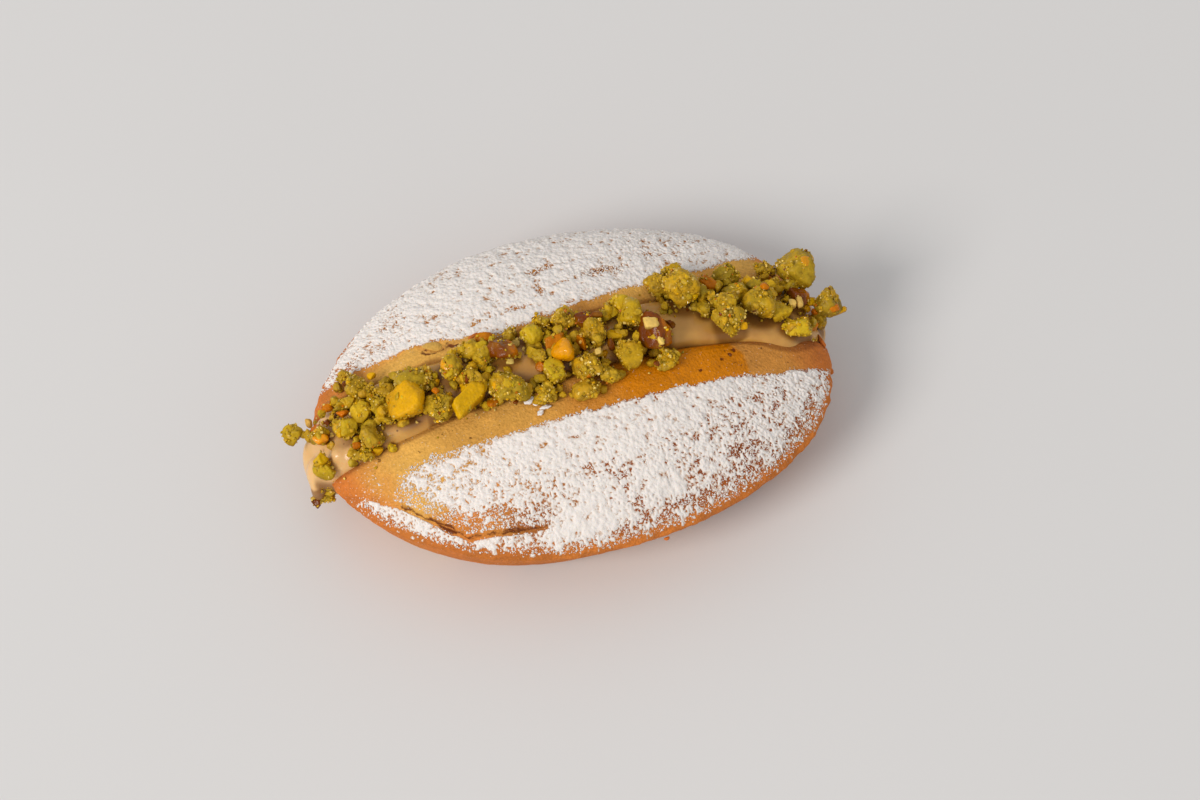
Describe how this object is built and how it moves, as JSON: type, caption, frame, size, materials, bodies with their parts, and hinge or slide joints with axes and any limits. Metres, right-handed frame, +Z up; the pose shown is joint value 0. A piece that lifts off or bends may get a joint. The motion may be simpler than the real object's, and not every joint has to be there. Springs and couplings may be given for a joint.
{
  "type": "pasticciotto",
  "caption": "Oval shortcrust pastry, slit open along the top, filled with nut cream and topped with broken pistachios.",
  "frame": {"origin": "middle of the flat base, on the surface that the pastry stands on", "axes": "+X along the pastry towards its blunter end, +Y to the far side as pictured, +Z up"},
  "size_m": [0.1209, 0.0764, 0.0408],
  "materials": {
    "crust": "matt baked shortcrust, golden with browner rim",
    "cream": "smooth satin nut cream",
    "pistachio": "broken pistachio kernels, rough with fine crumbs",
    "icing_sugar": "fine white icing sugar"
  },
  "bodies": {
    "root": {"pastry": "crust", "cream": "cream", "pistachios": "pistachio"}
  },
  "joints": []
}
